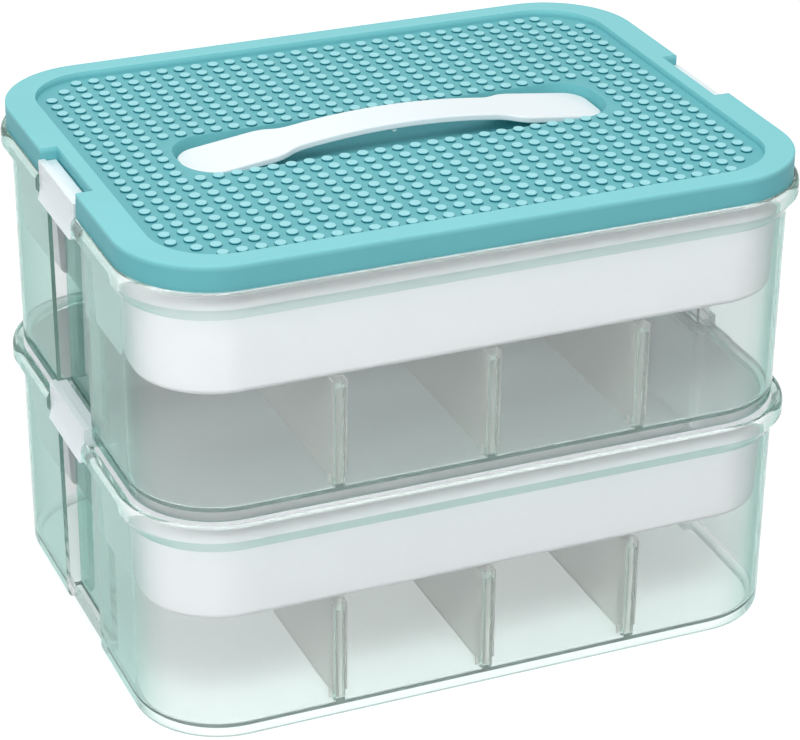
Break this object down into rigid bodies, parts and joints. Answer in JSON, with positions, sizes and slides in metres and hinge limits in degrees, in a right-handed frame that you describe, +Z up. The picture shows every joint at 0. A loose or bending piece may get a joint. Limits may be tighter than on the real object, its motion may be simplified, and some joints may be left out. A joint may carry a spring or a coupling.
{
  "type": "building block storage box",
  "caption": "Stackable clear storage case for building blocks, with hinged side latches, lift-out white trays over divided compartments, and a flat lid with a carry handle in its recess.",
  "frame": {"origin": "centre of the lower box's footprint, on the surface that it stands on", "axes": "+X along the long side, +Y across from the front to the back, +Z up"},
  "size_m": [0.3048, 0.2318, 0.2226],
  "materials": {
    "clear_box": "clear, faintly green, polished",
    "frosted_divider": "fine frosted",
    "white_tray": "fine satin",
    "white_fitting": "smooth",
    "teal_lid": "satin"
  },
  "bodies": {
    "lower_box": {"lower_box": "clear_box"},
    "lower_tray": {"lower_tray": "white_tray"},
    "lower_left_divider": {"lower_left_divider": "frosted_divider"},
    "lower_middle_divider": {"lower_middle_divider": "frosted_divider"},
    "lower_right_divider": {"lower_right_divider": "frosted_divider"},
    "lower_left_latch": {"lower_left_latch": "white_fitting"},
    "lower_right_latch": {"lower_right_latch": "white_fitting"},
    "upper_box": {"upper_box": "clear_box"},
    "upper_tray": {"upper_tray": "white_tray"},
    "upper_left_divider": {"upper_left_divider": "frosted_divider"},
    "upper_middle_divider": {"upper_middle_divider": "frosted_divider"},
    "upper_right_divider": {"upper_right_divider": "frosted_divider"},
    "upper_left_latch": {"upper_left_latch": "white_fitting"},
    "upper_right_latch": {"upper_right_latch": "white_fitting"},
    "lid": {"lid": "teal_lid"},
    "carry_handle": {"carry_handle": "white_fitting"}
  },
  "joints": [
    {"name": "upper_tier_lift", "type": "slide", "parent": "lower_box", "child": "upper_box", "axis": [0, 0, 1], "range_m": [0, 0.1]},
    {"name": "lower_left_latch_hinge", "type": "hinge", "parent": "lower_box", "child": "lower_left_latch", "pos_m": [-0.14825, 0, 0.096], "axis": [0, -1, 0], "range_deg": [0, 150]},
    {"name": "lower_right_latch_hinge", "type": "hinge", "parent": "lower_box", "child": "lower_right_latch", "pos_m": [0.14825, 0, 0.096], "axis": [0, 1, 0], "range_deg": [0, 150]},
    {"name": "lower_tray_lift", "type": "slide", "parent": "lower_box", "child": "lower_tray", "axis": [0, 0, 1], "range_m": [0, 0.055]},
    {"name": "lower_left_divider_lift", "type": "slide", "parent": "lower_box", "child": "lower_left_divider", "axis": [0, 0, 1], "range_m": [0, 0.045]},
    {"name": "lower_middle_divider_lift", "type": "slide", "parent": "lower_box", "child": "lower_middle_divider", "axis": [0, 0, 1], "range_m": [0, 0.045]},
    {"name": "lower_right_divider_lift", "type": "slide", "parent": "lower_box", "child": "lower_right_divider", "axis": [0, 0, 1], "range_m": [0, 0.045]},
    {"name": "lid_lift", "type": "slide", "parent": "upper_box", "child": "lid", "axis": [0, 0, 1], "range_m": [0, 0.1]},
    {"name": "upper_left_latch_hinge", "type": "hinge", "parent": "upper_box", "child": "upper_left_latch", "pos_m": [-0.14825, 0, 0.1998], "axis": [0, -1, 0], "range_deg": [0, 150]},
    {"name": "upper_right_latch_hinge", "type": "hinge", "parent": "upper_box", "child": "upper_right_latch", "pos_m": [0.14825, 0, 0.1998], "axis": [0, 1, 0], "range_deg": [0, 150]},
    {"name": "upper_tray_lift", "type": "slide", "parent": "upper_box", "child": "upper_tray", "axis": [0, 0, 1], "range_m": [0, 0.055]},
    {"name": "upper_left_divider_lift", "type": "slide", "parent": "upper_box", "child": "upper_left_divider", "axis": [0, 0, 1], "range_m": [0, 0.045]},
    {"name": "upper_middle_divider_lift", "type": "slide", "parent": "upper_box", "child": "upper_middle_divider", "axis": [0, 0, 1], "range_m": [0, 0.045]},
    {"name": "upper_right_divider_lift", "type": "slide", "parent": "upper_box", "child": "upper_right_divider", "axis": [0, 0, 1], "range_m": [0, 0.045]},
    {"name": "handle_lift", "type": "slide", "parent": "lid", "child": "carry_handle", "axis": [0, 0, 1], "range_m": [0, 0.006]}
  ],
  "couplings": [
    {"joint": "lower_left_latch_hinge", "follows": "upper_tier_lift", "rad_per_m": 26.17},
    {"joint": "lower_right_latch_hinge", "follows": "upper_tier_lift", "rad_per_m": 26.17},
    {"joint": "lower_tray_lift", "follows": "upper_tier_lift", "ratio": 0.55},
    {"joint": "lower_left_divider_lift", "follows": "upper_tier_lift", "ratio": 0.45},
    {"joint": "lower_middle_divider_lift", "follows": "upper_tier_lift", "ratio": 0.45},
    {"joint": "lower_right_divider_lift", "follows": "upper_tier_lift", "ratio": 0.45},
    {"joint": "upper_left_latch_hinge", "follows": "lid_lift", "rad_per_m": 26.17},
    {"joint": "upper_right_latch_hinge", "follows": "lid_lift", "rad_per_m": 26.17},
    {"joint": "upper_tray_lift", "follows": "lid_lift", "ratio": 0.55},
    {"joint": "upper_left_divider_lift", "follows": "lid_lift", "ratio": 0.45},
    {"joint": "upper_middle_divider_lift", "follows": "lid_lift", "ratio": 0.45},
    {"joint": "upper_right_divider_lift", "follows": "lid_lift", "ratio": 0.45}
  ]
}
